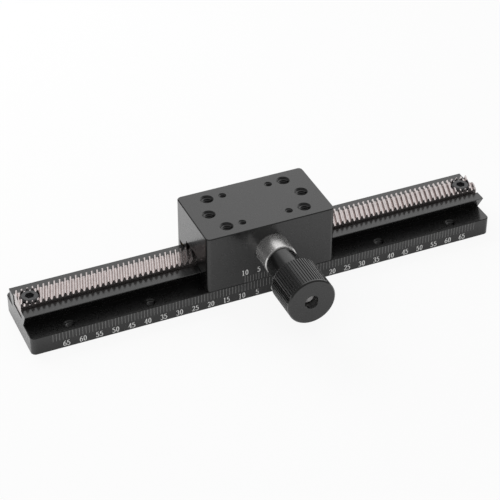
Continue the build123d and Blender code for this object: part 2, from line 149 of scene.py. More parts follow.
class SlideFinish(bpy.types.PropertyGroup):
    """Colours and gloss of the slide's finishes."""

    anodised_color: FloatVectorProperty(
        name="Anodised colour", description="Colour of the black anodised aluminium",
        subtype="COLOR", size=3, min=0, max=1, default=(0.0035, 0.0035, 0.0035))
    anodised_roughness: FloatProperty(
        name="Anodised roughness", description="Mean roughness of the anodised faces",
        subtype="FACTOR", min=0.02, max=1, default=0.29)
    rack_color: FloatVectorProperty(
        name="Rack colour", description="Colour of the plated steel rack",
        subtype="COLOR", size=3, min=0, max=1, default=(0.66, 0.6, 0.59))
    steel_color: FloatVectorProperty(
        name="Steel colour", description="Colour of the polished steel bush and shaft",
        subtype="COLOR", size=3, min=0, max=1, default=(0.84, 0.83, 0.82))
    brass_color: FloatVectorProperty(
        name="Brass colour", description="Colour of the gib strip",
        subtype="COLOR", size=3, min=0, max=1, default=(0.72, 0.52, 0.24))
    bronze_color: FloatVectorProperty(
        name="Bronze colour", description="Colour of the bearings",
        subtype="COLOR", size=3, min=0, max=1, default=(0.5, 0.32, 0.16))
    thread_color: FloatVectorProperty(
        name="Thread colour",
        description="Colour of the threads tapped in the rail and the carriage",
        subtype="COLOR", size=3, min=0, max=1, default=(0.16, 0.16, 0.16))
    oxide_color: FloatVectorProperty(
        name="Black oxide colour", description="Colour of the blackened screws",
        subtype="COLOR", size=3, min=0, max=1, default=(0.02, 0.02, 0.021))
    line_color: FloatVectorProperty(
        name="Line colour", description="Colour of the engraved lines",
        subtype="COLOR", size=3, min=0, max=1, default=(0.22, 0.22, 0.216))
    figure_color: FloatVectorProperty(
        name="Figure colour", description="Colour of the engraved figures",
        subtype="COLOR", size=3, min=0, max=1, default=(0.75, 0.75, 0.74))


class SlideScale(bpy.types.PropertyGroup):
    """Sizes of the engraved scale and vernier."""

    half_count: IntProperty(
        name="Divisions each side", description="Millimetre marks on each side of the middle",
        min=1, max=74, default=69)
    figure_step: IntProperty(
        name="Figure step", description="Millimetres from one figure to the next",
        min=1, max=20, default=5)
    zero_shift: FloatProperty(
        name="Zero shift", description="From the middle of the rail to the zero of its scale",
        subtype="DISTANCE", unit="LENGTH", default=0.46 * MM)
    mark_width: FloatProperty(
        name="Mark width", description="Width of one mark",
        subtype="DISTANCE", unit="LENGTH", min=0, default=0.13 * MM)
    mark_top: FloatProperty(
        name="Mark top", description="Height of the upper end of the rail's marks",
        subtype="DISTANCE", unit="LENGTH", min=0, default=RAIL_LOW.z + 5.8 * MM)
    mark_length: FloatProperty(
        name="Mark length", description="Length of the rail's marks",
        subtype="DISTANCE", unit="LENGTH", min=0, default=2.7 * MM)
    figure_height: FloatProperty(
        name="Figure height", description="Height of the figures",
        subtype="DISTANCE", unit="LENGTH", min=0, default=1.85 * MM)
    figure_center: FloatProperty(
        name="Figure centre", description="Height of the middle of the rail's figures",
        subtype="DISTANCE", unit="LENGTH", min=0, default=RAIL_LOW.z + 1.60 * MM)
    vernier_step: FloatProperty(
        name="Vernier division", description="Distance between the vernier's marks",
        subtype="DISTANCE", unit="LENGTH", min=0, default=0.9 * MM)
    vernier_count: IntProperty(
        name="Vernier divisions", description="Vernier divisions from its zero",
        min=1, max=20, default=10)
    vernier_length: FloatProperty(
        name="Vernier mark length", description="Length of the vernier's marks",
        subtype="DISTANCE", unit="LENGTH", min=0, default=2.2 * MM)
    vernier_long: FloatProperty(
        name="Long vernier mark", description="Length of the vernier's numbered marks",
        subtype="DISTANCE", unit="LENGTH", min=0, default=2.9 * MM)
    vernier_figure_center: FloatProperty(
        name="Vernier figure centre", description="Height of the middle of the vernier's figures",
        subtype="DISTANCE", unit="LENGTH", min=0, default=RAIL_LOW.z + 9.9 * MM)


class SlideStudio(bpy.types.PropertyGroup):
    """Camera, floor and lamps."""

    azimuth: FloatProperty(
        name="Azimuth", description="Camera's turn about the vertical from straight in front",
        subtype="ANGLE", unit="ROTATION", default=math.radians(-23.940))
    elevation: FloatProperty(
        name="Elevation", description="Camera's angle above the horizon",
        subtype="ANGLE", unit="ROTATION", default=math.radians(36.579))
    roll: FloatProperty(
        name="Roll", description="Camera's turn about its own axis",
        subtype="ANGLE", unit="ROTATION", default=math.radians(0.246))
    distance: FloatProperty(
        name="Distance", description="From the camera to its target",
        subtype="DISTANCE", unit="LENGTH", min=0, default=516.225 * MM)
    target: FloatVectorProperty(
        name="Target", description="Point in the middle of the picture",
        subtype="TRANSLATION", size=3, default=(-1.651 * MM, 0.0, 8.031 * MM))
    focal_px: FloatProperty(
        name="Focal length in pixels", description="Focal length for a picture 500 pixels wide",
        min=100, default=1704.8)
    floor_color: FloatVectorProperty(
        name="Floor colour", description="Colour of the floor",
        subtype="COLOR", size=3, min=0, max=1, default=(0.65, 0.65, 0.65))
    key_power: FloatProperty(
        name="Key power", description="Power of the lamp behind the slide",
        subtype="POWER", min=0, default=1.1)
    fill_power: FloatProperty(
        name="Fill power", description="Power of the lamp above the camera",
        subtype="POWER", min=0, default=4.0)
    ambient: FloatProperty(
        name="Ambient", description="Strength of the light from all round",
        min=0, default=0.6)


def link(tree, output, target):
    """Join an output socket to an input socket."""
    tree.links.new(output, target)


def add_node(tree, kind, **values):
    """Add a node and set its properties and unlinked inputs by name."""
    node = tree.nodes.new(kind)
    for name, value in values.items():
        if name in node.inputs:
            node.inputs[name].default_value = value
        else:
            setattr(node, name, value)
    return node


def feed(tree, value, target):
    """Give an input socket another node's output or a plain number."""
    if isinstance(value, bpy.types.NodeSocket):
        link(tree, value, target)
    else:
        target.default_value = value


def math_node(tree, operation, first, second=None):
    """Math node on sockets or plain numbers, giving its output."""
    node = add_node(tree, "ShaderNodeMath", operation=operation)
    feed(tree, first, node.inputs[0])
    if second is not None:
        feed(tree, second, node.inputs[1])
    return node.outputs[0]


def set_range(node, side, limits):
    """Set the From or the To limits of a Map Range node."""
    for label, value in zip(("Min", "Max"), limits):
        node.inputs[f"{side} {label}"].default_value = value


def new_group(name, inputs, outputs):
    """Empty shader node group with float inputs and the given outputs."""
    group = bpy.data.node_groups.new(name, "ShaderNodeTree")
    for label, default in inputs.items():
        socket = group.interface.new_socket(label, in_out="INPUT", socket_type="NodeSocketFloat")
        socket.default_value = default
    for label in outputs:
        group.interface.new_socket(label, in_out="OUTPUT", socket_type="NodeSocketFloat")
    return group, group.nodes.new("NodeGroupInput"), group.nodes.new("NodeGroupOutput")


def use_group(tree, name, **values):
    """Place a shared node group in a tree with its own values."""
    node = tree.nodes.new("ShaderNodeGroup")
    node.node_tree = bpy.data.node_groups[name]
    for label, value in values.items():
        node.inputs[label.replace("_", " ")].default_value = value
    return node


def grain_group():
    """Soft cloudy grain: a value between Low and High that changes over the surface."""
    group, given, result = new_group("grain", {"Scale": 400.0, "Low": 0.0, "High": 1.0}, ["Value"])
    coords = add_node(group, "ShaderNodeTexCoord")
    noise = add_node(group, "ShaderNodeTexNoise", Detail=4.0, Roughness=0.6)
    spread = add_node(group, "ShaderNodeMapRange")
    set_range(spread, "From", NOISE_SPREAD)
    link(group, coords.outputs["Object"], noise.inputs["Vector"])
    link(group, given.outputs["Scale"], noise.inputs["Scale"])
    link(group, noise.outputs["Fac"], spread.inputs["Value"])
    link(group, given.outputs["Low"], spread.inputs["To Min"])
    link(group, given.outputs["High"], spread.inputs["To Max"])
    link(group, spread.outputs["Result"], result.inputs["Value"])


def tool_lines_group():
    """Fine parallel tool lines: noise drawn out in one direction by a density for each axis."""
    inputs = {"Across X": 1000.0, "Across Y": 1000.0, "Across Z": 1000.0}
    group, given, result = new_group("tool_lines", inputs, ["Height"])
    coords = add_node(group, "ShaderNodeTexCoord")
    densities = add_node(group, "ShaderNodeCombineXYZ")
    stretch = add_node(group, "ShaderNodeVectorMath", operation="MULTIPLY")
    noise = add_node(group, "ShaderNodeTexNoise", Scale=1.0, Detail=3.0)
    for place, label in enumerate(inputs):
        link(group, given.outputs[label], densities.inputs[place])
    link(group, coords.outputs["Object"], stretch.inputs[0])
    link(group, densities.outputs[0], stretch.inputs[1])
    link(group, stretch.outputs[0], noise.inputs["Vector"])
    link(group, noise.outputs["Fac"], result.inputs["Height"])


def turned_rings_group():
    """Fine rings left by turning, about a line along Y at a height."""
    inputs = {"Axis Height": AXIS_HEIGHT, "Density": 6000.0}
    group, given, result = new_group("turned_rings", inputs, ["Height"])
    coords = add_node(group, "ShaderNodeTexCoord")
    parts = add_node(group, "ShaderNodeSeparateXYZ")
    link(group, coords.outputs["Object"], parts.inputs[0])
    rise = math_node(group, "SUBTRACT", parts.outputs["Z"], given.outputs["Axis Height"])
    squares = math_node(
        group, "ADD",
        math_node(group, "MULTIPLY", parts.outputs["X"], parts.outputs["X"]),
        math_node(group, "MULTIPLY", rise, rise))
    radius = math_node(group, "SQRT", squares)
    place = add_node(group, "ShaderNodeCombineXYZ")
    link(group, math_node(group, "MULTIPLY", radius, given.outputs["Density"]), place.inputs["X"])
    along = math_node(group, "MULTIPLY", parts.outputs["Y"], given.outputs["Density"])
    link(group, along, place.inputs["Y"])
    noise = add_node(group, "ShaderNodeTexNoise", Scale=1.0, Detail=2.0)
    link(group, place.outputs[0], noise.inputs["Vector"])
    link(group, noise.outputs["Fac"], result.inputs["Height"])


def edge_wear_group():
    """Mask of the narrow band along edges, broken up by grain."""
    group, given, result = new_group("edge_wear", {"Width": 0.15 * MM, "Amount": 1.0}, ["Mask"])
    bevel = add_node(group, "ShaderNodeBevel", samples=BEVEL_SAMPLES)
    geometry = add_node(group, "ShaderNodeNewGeometry")
    compare = add_node(group, "ShaderNodeVectorMath", operation="DOT_PRODUCT")
    link(group, given.outputs["Width"], bevel.inputs["Radius"])
    link(group, bevel.outputs["Normal"], compare.inputs[0])
    link(group, geometry.outputs["Normal"], compare.inputs[1])
    turn = math_node(group, "SUBTRACT", 1.0, compare.outputs["Value"])
    band = add_node(group, "ShaderNodeMapRange")
    set_range(band, "From", EDGE_TURN)
    link(group, turn, band.inputs["Value"])
    grain = use_group(group, "grain", Scale=EDGE_GRAIN_SCALE)
    worn = math_node(group, "MULTIPLY", band.outputs["Result"], grain.outputs["Value"])
    link(group, math_node(group, "MULTIPLY", worn, given.outputs["Amount"]), result.inputs["Mask"])


def new_material(name, metallic, ior=1.5, coat=0.0, coat_roughness=0.1):
    """Material with a Principled shader, giving the material, its tree and the shader."""
    material = bpy.data.materials.new(name)
    material.use_nodes = True
    tree = material.node_tree
    shader = tree.nodes["Principled BSDF"]
    shader.inputs["Metallic"].default_value = metallic
    shader.inputs["IOR"].default_value = ior
    shader.inputs["Coat Weight"].default_value = coat
    shader.inputs["Coat Roughness"].default_value = coat_roughness
    return material, tree, shader


def vary_color(tree, shader, color, change, scale, wear=None, wear_and_highlight_color=None):
    """Base colour that drifts by a small factor, and the edge colour where the wear group says:
    worn edges, and on the rack also a painted highlight.
    """
    drift = use_group(tree, "grain", Scale=scale, Low=0.0, High=1.0)
    darker = [value * (1 - change) for value in color]
    lighter = [min(1.0, value * (1 + change)) for value in color]
    mix = add_node(tree, "ShaderNodeMix", data_type="RGBA")
    mix.inputs[MIX_COLOR_A].default_value = (*darker, 1)
    mix.inputs[MIX_COLOR_B].default_value = (*lighter, 1)
    link(tree, drift.outputs["Value"], mix.inputs[MIX_FACTOR])
    result = mix.outputs[MIX_COLOR_RESULT]
    if wear is not None:
        worn = add_node(tree, "ShaderNodeMix", data_type="RGBA")
        worn.inputs[MIX_COLOR_B].default_value = (*wear_and_highlight_color, 1)
        link(tree, wear.outputs["Mask"], worn.inputs[MIX_FACTOR])
        link(tree, result, worn.inputs[MIX_COLOR_A])
        result = worn.outputs[MIX_COLOR_RESULT]
    link(tree, result, shader.inputs["Base Color"])


def vary_roughness(tree, shader, low, high, scale):
    """Roughness that drifts between two values."""
    drift = use_group(tree, "grain", Scale=scale, Low=low, High=high)
    link(tree, drift.outputs["Value"], shader.inputs["Roughness"])


def surface_normal(tree, shader, height, distance, edge_radius):
    """Bump from a height, over edges that a small shaded radius rounds."""
    rounding = add_node(tree, "ShaderNodeBevel", Radius=edge_radius, samples=BEVEL_SAMPLES)
    bump = add_node(tree, "ShaderNodeBump", Strength=1.0, Distance=distance)
    link(tree, rounding.outputs["Normal"], bump.inputs["Normal"])
    link(tree, height, bump.inputs["Height"])
    link(tree, bump.outputs["Normal"], shader.inputs["Normal"])


def anodised_material(finish):
    """Black anodised aluminium, finely blasted, with a satin gloss and slightly worn edges."""
    material, tree, shader = new_material(
        "anodised_finish", metallic=0.0, ior=1.5, coat=0.9, coat_roughness=0.15)
    wear = use_group(tree, "edge_wear", Width=0.12 * MM, Amount=0.35)
    vary_color(
        tree, shader, finish.anodised_color, change=0.12, scale=260.0, wear=wear,
        wear_and_highlight_color=WORN_ANODISING)
    vary_roughness(
        tree, shader, low=finish.anodised_roughness - ANODISED_DRIFT,
        high=finish.anodised_roughness + ANODISED_DRIFT, scale=900.0)
    blast = use_group(tree, "grain", Scale=9000.0, Low=0.0, High=1.0)
    surface_normal(
        tree, shader, blast.outputs["Value"], distance=0.0006 * MM, edge_radius=0.03 * MM)
    return material


def rack_material(finish):
    """Plated steel, bright along the hobbed teeth: its near-white edge colour is partly worn
    plating and partly a painted highlight.
    """
    material, tree, shader = new_material("plated_rack_finish", metallic=0.95)
    # Full wear in near-white along every edge: partly worn plating, partly a painted highlight on
    # the teeth
    wear = use_group(tree, "edge_wear", Width=0.12 * MM, Amount=1.0)
    vary_color(
        tree, shader, finish.rack_color, change=0.12, scale=700.0, wear=wear,
        wear_and_highlight_color=PLATING_WEAR_AND_HIGHLIGHT)
    vary_roughness(tree, shader, low=0.09, high=0.18, scale=1500.0)
    lines = use_group(tree, "tool_lines", Across_X=9000.0, Across_Y=500.0, Across_Z=9000.0)
    surface_normal(
        tree, shader, lines.outputs["Height"], distance=0.002 * MM, edge_radius=0.04 * MM)
    return material


def turned_steel_material(name, metallic, color, low, high, axis_height, depth):
    """Steel with the fine rings of a lathe, which draw its reflections out along the axis."""
    material, tree, shader = new_material(name, metallic)
    around = add_node(tree, "ShaderNodeTangent", direction_type="RADIAL", axis="Y")
    link(tree, around.outputs[0], shader.inputs["Tangent"])
    shader.inputs["Anisotropic"].default_value = 0.9
    shader.inputs["Anisotropic Rotation"].default_value = 0.25
    wear = use_group(tree, "edge_wear", Width=0.1 * MM, Amount=0.6)
    vary_color(tree, shader, color, change=0.05, scale=500.0, wear=wear, wear_and_highlight_color=WORN_STEEL)
    vary_roughness(tree, shader, low, high, scale=1200.0)
    rings = use_group(tree, "turned_rings", Axis_Height=axis_height, Density=5000.0)
    surface_normal(tree, shader, rings.outputs["Height"], depth, edge_radius=0.05 * MM)
    return material


def bush_material(finish):
    """Polished stainless steel."""
    return turned_steel_material(
        "polished_bush_finish", metallic=0.92, color=finish.steel_color, low=0.2, high=0.26,
        axis_height=BUSH_HEIGHT, depth=0.0008 * MM)


def shaft_material(finish):
    """Plain turned steel."""
    return turned_steel_material(
        "turned_shaft_finish", metallic=0.4, color=finish.steel_color, low=0.3, high=0.45,
        axis_height=AXIS_HEIGHT, depth=0.004 * MM)


def oxide_material(finish):
    """Blackened steel of the screws."""
    material, tree, shader = new_material("oxide_finish", metallic=0.0, ior=1.7)
    wear = use_group(tree, "edge_wear", Width=0.1 * MM, Amount=0.5)
    vary_color(
        tree, shader, finish.oxide_color, change=0.2, scale=900.0, wear=wear,
        wear_and_highlight_color=WORN_OXIDE)
    vary_roughness(tree, shader, low=0.24, high=0.4, scale=1500.0)
    grain = use_group(tree, "grain", Scale=5000.0, Low=0.0, High=1.0)
    surface_normal(
        tree, shader, grain.outputs["Value"], distance=0.002 * MM, edge_radius=0.08 * MM)
    return material


def thread_material(finish):
    """Dark metal that a tap has cut."""
    material, tree, shader = new_material("cut_thread_finish", metallic=1.0)
    wear = use_group(tree, "edge_wear", Width=0.04 * MM, Amount=0.5)
    vary_color(
        tree, shader, finish.thread_color, change=0.1, scale=1500.0, wear=wear,
        wear_and_highlight_color=WORN_THREAD)
    vary_roughness(tree, shader, low=0.25, high=0.4, scale=2000.0)
    lines = use_group(tree, "tool_lines", Across_X=2000.0, Across_Y=2000.0, Across_Z=9000.0)
    surface_normal(
        tree, shader, lines.outputs["Height"], distance=0.002 * MM, edge_radius=0.02 * MM)
    return material


def yellow_metal_material(name, color, low, high, density):
    """Brass or bronze, with tool lines drawn out tenfold along the slide."""
    material, tree, shader = new_material(name, metallic=1.0)
    wear = use_group(tree, "edge_wear", Width=0.1 * MM, Amount=0.4)
    vary_color(
        tree, shader, color, change=0.15, scale=600.0, wear=wear, wear_and_highlight_color=WORN_YELLOW_METAL)
    vary_roughness(tree, shader, low, high, scale=1200.0)
    lines = use_group(
        tree, "tool_lines", Across_X=density / 10, Across_Y=density, Across_Z=density)
    surface_normal(
        tree, shader, lines.outputs["Height"], distance=0.004 * MM, edge_radius=0.05 * MM)
    return material


def brass_material(finish):
    """Milled brass of the gib strip."""
    return yellow_metal_material(
        "brass_finish", finish.brass_color, low=0.25, high=0.4, density=6000.0)


def bronze_material(finish):
    """Sintered bronze of the bearings."""
    return yellow_metal_material(
        "bronze_finish", finish.bronze_color, low=0.4, high=0.55, density=3000.0)


def mark_material(name, color):
    """Matt pale filling of the engraved marks, a little uneven."""
    material, tree, shader = new_material(name, metallic=0.0, ior=1.4)
    vary_color(tree, shader, color, change=0.15, scale=3000.0)
    vary_roughness(tree, shader, low=0.5, high=0.7, scale=2000.0)
    grain = use_group(tree, "grain", Scale=12000.0, Low=0.0, High=1.0)
    surface_normal(
        tree, shader, grain.outputs["Value"], distance=0.002 * MM, edge_radius=0.01 * MM)
    return material


def line_material(finish):
    """Filling of the engraved lines."""
    return mark_material("line_finish", finish.line_color)


def figure_material(finish):
    """Filling of the engraved figures."""
    return mark_material("figure_finish", finish.figure_color)


# A group that uses another one comes after it
GROUP_MAKERS = (grain_group, tool_lines_group, turned_rings_group, edge_wear_group)

FINISH_MAKERS = {
    "anodised_finish": anodised_material,
    "plated_rack_finish": rack_material,
    "polished_bush_finish": bush_material,
    "turned_shaft_finish": shaft_material,
    "brass_finish": brass_material,
    "bronze_finish": bronze_material,
    "cut_thread_finish": thread_material,
    "oxide_finish": oxide_material,
    "line_finish": line_material,
    "figure_finish": figure_material,
}


def shared_material(name):
    """A finish by name, made with its node groups the first time that it is asked for."""
    if name in bpy.data.materials:
        return bpy.data.materials[name]
    if "grain" not in bpy.data.node_groups:
        for make_group in GROUP_MAKERS:
            make_group()
    return FINISH_MAKERS[name](bpy.context.scene.slide_finish)


def dress(nodes, material_name):
    """Give CAD nodes a finish."""
    for name in nodes:
        slots = frame["nodes"][name].data.materials
        slots.clear()
        slots.append(shared_material(material_name))


def add_piece(name, points, faces, body, slot, material_name):
    """Mesh piece in the frame's metres that rides on a body."""
    mesh = bpy.data.meshes.new(name)
    mesh.from_pydata(points, [], faces)
    mesh.validate()
    mesh.materials.append(shared_material(material_name))
    piece = bpy.data.objects.new(name, mesh)
    bpy.context.scene.collection.objects.link(piece)
    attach(piece, body)


def pattern_places(mount_name):
    """Centres of a bolt pattern's holes, as (x, y)."""
    mount = MOUNTS[mount_name]
    x, y, _ = mount["pos_m"]
    half_x = mount["dims"].get("spacing_x_mm", 0.0) * MM / 2
    half_y = mount["dims"].get("spacing_y_mm", 0.0) * MM / 2
    sides_y = (-1, 1) if half_y else (0,)
    return [
        (x + side_x * half_x, y + side_y * half_y) for side_x in (-1, 1) for side_y in sides_y]


def thread_ridge(center, mouth, depth, radius, pitch):
    """Points and faces of a helical ridge on the wall of a hole that opens upwards."""
    steps = int(depth / pitch) * RIDGE_SEGMENTS
    foot = radius + RIDGE_SINK
    crest = radius - RIDGE_HEIGHT * pitch
    corners = len(RIDGE_DROPS)
    points, faces = [], []
    for step in range(steps + 1):
        angle = 2 * math.pi * step / RIDGE_SEGMENTS
        level = mouth - pitch * step / RIDGE_SEGMENTS
        for reach, drop in zip((foot, crest, crest, foot), RIDGE_DROPS):
            points.append((
                center[0] + reach * math.cos(angle),
                center[1] + reach * math.sin(angle),
                level - drop * pitch))
    for step in range(steps):
        for side in range(corners - 1):
            corner = step * corners + side
            faces.append((corner, corner + 1, corner + corners + 1, corner + corners))
    return points, faces


def gather(parts):
    """Join several (points, faces) into one."""
    points, faces = [], []
    for part_points, part_faces in parts:
        start = len(points)
        points += part_points
        faces += [tuple(corner + start for corner in face) for face in part_faces]
    return points, faces


def add_threads(name, patterns, mouth, depth, pitch, body):
    """One piece with the thread of every hole of the patterns."""
    ridges = []
    for pattern in patterns:
        radius = MOUNTS[pattern]["dims"]["hole_r_mm"] * MM
        for center in pattern_places(pattern):
            ridges.append(thread_ridge(center, mouth, depth, radius, pitch))
    add_piece(name, *gather(ridges), body, "black_anodised", "cut_thread_finish")


def arc(center, radii, start, end, steps=14):
    """Points on an ellipse between two angles in degrees."""
    points = []
    for step in range(steps + 1):
        angle = math.radians(start + (end - start) * step / steps)
        points.append((
            center[0] + radii[0] * math.cos(angle),
            center[1] + radii[1] * math.sin(angle)))
    return points


# Centre lines of the figures, with serifs, each in a cell one unit high
DIGIT_STROKES = {
    "0": [arc((0.28, 0.5), (0.19, 0.46), 90, 450, steps=24)],
    "1": [
        [(0.12, 0.84), (0.29, 0.97)],
        [(0.29, 0.97), (0.29, 0.02)],
        [(0.1, 0.02), (0.46, 0.02)],
    ],
    "2": [
        arc((0.27, 0.72), (0.19, 0.24), 165, -30) + [(0.24, 0.24), (0.07, 0.04)],
        [(0.07, 0.05), (0.46, 0.05), (0.49, 0.2)],
    ],
    "3": [
        arc((0.25, 0.74), (0.17, 0.22), 160, -80),
        arc((0.25, 0.27), (0.2, 0.25), 80, -155),
    ],
    "4": [
        [(0.38, 0.97), (0.04, 0.3), (0.53, 0.3)],
        [(0.38, 0.97), (0.38, 0.02)],
        [(0.24, 0.02), (0.52, 0.02)],
    ],
    "5": [
        [(0.46, 0.94), (0.15, 0.94)],
        [(0.15, 0.96), (0.12, 0.54)],
        arc((0.25, 0.32), (0.21, 0.3), 125, -155),
    ],
    "6": [
        arc((0.48, 0.34), (0.4, 0.62), 95, 180),
        arc((0.28, 0.3), (0.2, 0.28), 0, 360, steps=20),
    ],
}


def digit_strokes(digit):
    """Strokes of a figure. The scales need 0 to 6, and any other is an error."""
    if digit not in DIGIT_STROKES:
        raise ValueError(f"no strokes for the figure {digit}")
    return DIGIT_STROKES[digit]


def pen_ribbon(stroke, place, height):
    """Flat ribbon along a stroke, thick where it runs upright and thin where it lies flat."""
    points, faces = [], []
    for number, (x, z) in enumerate(stroke):
        before = stroke[max(0, number - 1)]
        after = stroke[min(len(stroke) - 1, number + 1)]
        run, rise = after[0] - before[0], after[1] - before[1]
        length = math.hypot(run, rise)
        half = (PEN_THIN + (PEN_THICK - PEN_THIN) * abs(rise) / length) / 2
        for side in (-1, 1):
            points.append((
                place[0] + (x - side * half * rise / length) * height,
                place[1],
                place[2] + (z + side * half * run / length) * height))
        if number:
            corner = 2 * number
            faces.append((corner - 2, corner - 1, corner + 1, corner))
    return points, faces


def figure_mesh(text, center_x, center_z, height, face_y):
    """Ribbons of a whole number, centred on a place of a face that looks to -Y."""
    width = (len(text) * DIGIT_WIDTH + (len(text) - 1) * DIGIT_GAP) * height
    ribbons = []
    for number, digit in enumerate(text):
        left = center_x - width / 2 + number * (DIGIT_WIDTH + DIGIT_GAP) * height
        for layer, stroke in enumerate(digit_strokes(digit)):
            place = (left, face_y - layer * STROKE_STEP, center_z - height / 2)
            ribbons.append(pen_ribbon(stroke, place, height))
    return gather(ribbons)


def mark_mesh(x, top, bottom, width, face_y):
    """Bar of one mark, which stands as far out of the part's face as it reaches in behind it."""
    back = face_y + MARK_LIFT * 2
    points = []
    for y in (face_y, back):
        for z in (bottom, top):
            for side in (-1, 1):
                points.append((x + side * width / 2, y, z))
    faces = [(0, 1, 3, 2), (0, 4, 5, 1), (1, 5, 7, 3), (3, 7, 6, 2), (2, 6, 4, 0)]
    return points, faces


class SLIDE_OT_dress_rail(bpy.types.Operator):
    """Finish the rail and cut the threads of its ledge holes"""

    bl_idname = "slide.dress_rail"
    bl_label = "Dress rail"

    def execute(self, context):
        dress(["base_rail"], "anodised_finish")
        patterns = ["base_holes_inner", "base_holes_outer"]
        mouth = RAIL_LOW.z + LEDGE_HEIGHT - M3_PITCH
        depth = LEDGE_HEIGHT - 2 * M3_PITCH
        add_threads("ledge_threads", patterns, mouth, depth, M3_PITCH, "base")
        return {"FINISHED"}


class SLIDE_OT_engrave_rail_scale(bpy.types.Operator):
    """Millimetre marks and figures on the rail's front face"""

    bl_idname = "slide.engrave_rail_scale"
    bl_label = "Engrave rail scale"

    def execute(self, context):
        scale = context.scene.slide_scale
        face_y = RAIL_LOW.y - MARK_LIFT
        bottom = scale.mark_top - scale.mark_length
        marks, figures = [], []
        for number in range(-scale.half_count, scale.half_count + 1):
            x = scale.zero_shift + number * MM
            marks.append(mark_mesh(x, scale.mark_top, bottom, scale.mark_width, face_y))
            if number % scale.figure_step == 0:
                figures.append(figure_mesh(
                    str(abs(number)), x, scale.figure_center, scale.figure_height, face_y))
        add_piece("rail_marks", *gather(marks), "base", "black_anodised", "line_finish")
        add_piece("rail_figures", *gather(figures), "base", "black_anodised", "figure_finish")
        return {"FINISHED"}


class SLIDE_OT_dress_rack(bpy.types.Operator):
    """Finish the rack and its screws"""

    bl_idname = "slide.dress_rack"
    bl_label = "Dress rack"

    def execute(self, context):
        dress(["rack"], "plated_rack_finish")
        dress(["rack_screw_left", "rack_screw_right"], "oxide_finish")
        return {"FINISHED"}


class SLIDE_OT_dress_carriage(bpy.types.Operator):
    """Finish the carriage block and cut the threads in its top"""

    bl_idname = "slide.dress_carriage"
    bl_label = "Dress carriage"

    def execute(self, context):
        dress(["carriage_block"], "anodised_finish")
        wide = ["carriage_m4_rectangle", "carriage_m4_pair"]
        mouth = BLOCK_HIGH.z - M4_COUNTERSINK
        add_threads("m4_threads", wide, mouth, M4_DEPTH, M4_PITCH, "carriage")
        small = ["carriage_m2_5_square"]
        mouth = BLOCK_HIGH.z - M2_5_COUNTERSINK
        add_threads("m2_5_threads", small, mouth, M2_5_DEPTH, M2_5_PITCH, "carriage")
        return {"FINISHED"}


class SLIDE_OT_engrave_vernier(bpy.types.Operator):
    """Vernier marks and figures on the carriage's front face"""

    bl_idname = "slide.engrave_vernier"
    bl_label = "Engrave vernier"

    def execute(self, context):
        scale = context.scene.slide_scale
        face_y = BLOCK_LOW.y - MARK_LIFT
        bottom = BLOCK_LOW.z + VERNIER_FOOT
        marks, figures = [], []
        for number in range(scale.vernier_count + 1):
            x = scale.zero_shift - number * scale.vernier_step
            numbered = number % VERNIER_FIGURE_STEP == 0
            length = scale.vernier_long if numbered else scale.vernier_length
            marks.append(mark_mesh(x, bottom + length, bottom, scale.mark_width, face_y))
            if numbered:
                figures.append(figure_mesh(
                    str(number), x, scale.vernier_figure_center, scale.figure_height, face_y))
        add_piece("vernier_marks", *gather(marks), "carriage", "black_anodised", "line_finish")
        add_piece(
            "vernier_figures", *gather(figures), "carriage", "black_anodised", "figure_finish")
        return {"FINISHED"}


class SLIDE_OT_dress_gib(bpy.types.Operator):
    """Finish the gib strip and its screws"""

    bl_idname = "slide.dress_gib"
    bl_label = "Dress gib"

    def execute(self, context):
        dress(["gib_strip"], "brass_finish")
        dress(["gib_screw_left", "gib_screw_middle", "gib_screw_right"], "oxide_finish")
        return {"FINISHED"}


class SLIDE_OT_dress_bush(bpy.types.Operator):
    """Finish the bush, its bearings, washers and set screw"""

    bl_idname = "slide.dress_bush"
    bl_label = "Dress bush"

    def execute(self, context):
        dress(["pinion_bush"], "polished_bush_finish")
        dress(["front_sleeve_bearing", "rear_sleeve_bearing", "shim_washer"], "bronze_finish")
        dress(["thrust_washer", "spring_washer"], "turned_shaft_finish")
        dress(["bush_set_screw"], "oxide_finish")
        return {"FINISHED"}


class SLIDE_OT_dress_drive(bpy.types.Operator):
    """Finish the knob, the shaft and the pinion"""

    bl_idname = "slide.dress_drive"
    bl_label = "Dress knob and pinion"

    def execute(self, context):
        dress(["knob"], "anodised_finish")
        dress(["pinion_shaft", "pinion"], "turned_shaft_finish")
        dress(["knob_set_screw", "pinion_screw"], "oxide_finish")
        return {"FINISHED"}


def mirrored_rays(tree, path):
    """Mask of the rays that a mirror or a clear body sends on."""
    return math_node(
        tree, "MAXIMUM", path.outputs["Is Glossy Ray"], path.outputs["Is Transmission Ray"])


def floor_material(color):
    """Pale floor that is mostly plain white to the camera and keeps a soft shadow."""
    material = bpy.data.materials.new("studio_floor")
    material.use_nodes = True
    tree = material.node_tree
    tree.nodes.clear()
    diffuse = add_node(tree, "ShaderNodeBsdfDiffuse", Color=(*color, 1))
    glow = add_node(tree, "ShaderNodeEmission", Color=(1, 1, 1, 1), Strength=1.0)
    path = add_node(tree, "ShaderNodeLightPath")
    share = math_node(
        tree, "MAXIMUM",
        math_node(tree, "MULTIPLY", path.outputs["Is Camera Ray"], FLOOR_CAMERA_WHITE),
        math_node(tree, "MULTIPLY", mirrored_rays(tree, path), FLOOR_MIRROR_WHITE))
    mix = add_node(tree, "ShaderNodeMixShader")
    output = add_node(tree, "ShaderNodeOutputMaterial")
    link(tree, share, mix.inputs["Fac"])
    link(tree, diffuse.outputs[0], mix.inputs[1])
    link(tree, glow.outputs[0], mix.inputs[2])
    link(tree, mix.outputs[0], output.inputs["Surface"])
    return material


